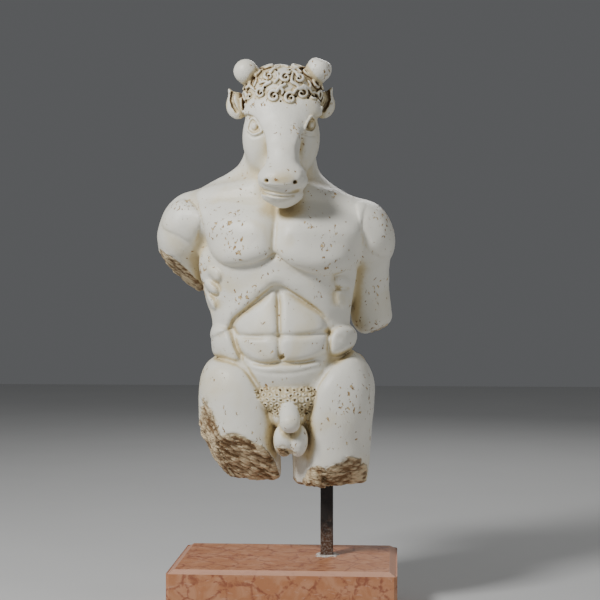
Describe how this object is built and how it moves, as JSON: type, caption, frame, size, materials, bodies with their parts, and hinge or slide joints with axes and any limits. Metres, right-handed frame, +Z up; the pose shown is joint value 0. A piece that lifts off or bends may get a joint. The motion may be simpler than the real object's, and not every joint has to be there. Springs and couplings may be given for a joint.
{
  "type": "statue on a plinth",
  "caption": "Broken marble torso of a bull-headed man, held up by a square iron bar set in a red-brown marble block.",
  "frame": {"origin": "centre of the plinth's underside", "axes": "+X to the right of a viewer in front of the statue, +Y away from that viewer, +Z up"},
  "size_m": [0.4898, 0.3073, 1.1011],
  "materials": {
    "white_marble": null,
    "iron": "dark iron bar, rusty lower down",
    "mortar": "pale dry mortar",
    "red_marble": "red-brown veined marble, polished"
  },
  "bodies": {
    "root": {"statue": "white_marble", "support_rod": "iron", "rod_mortar": "mortar", "plinth": "red_marble"}
  },
  "joints": []
}
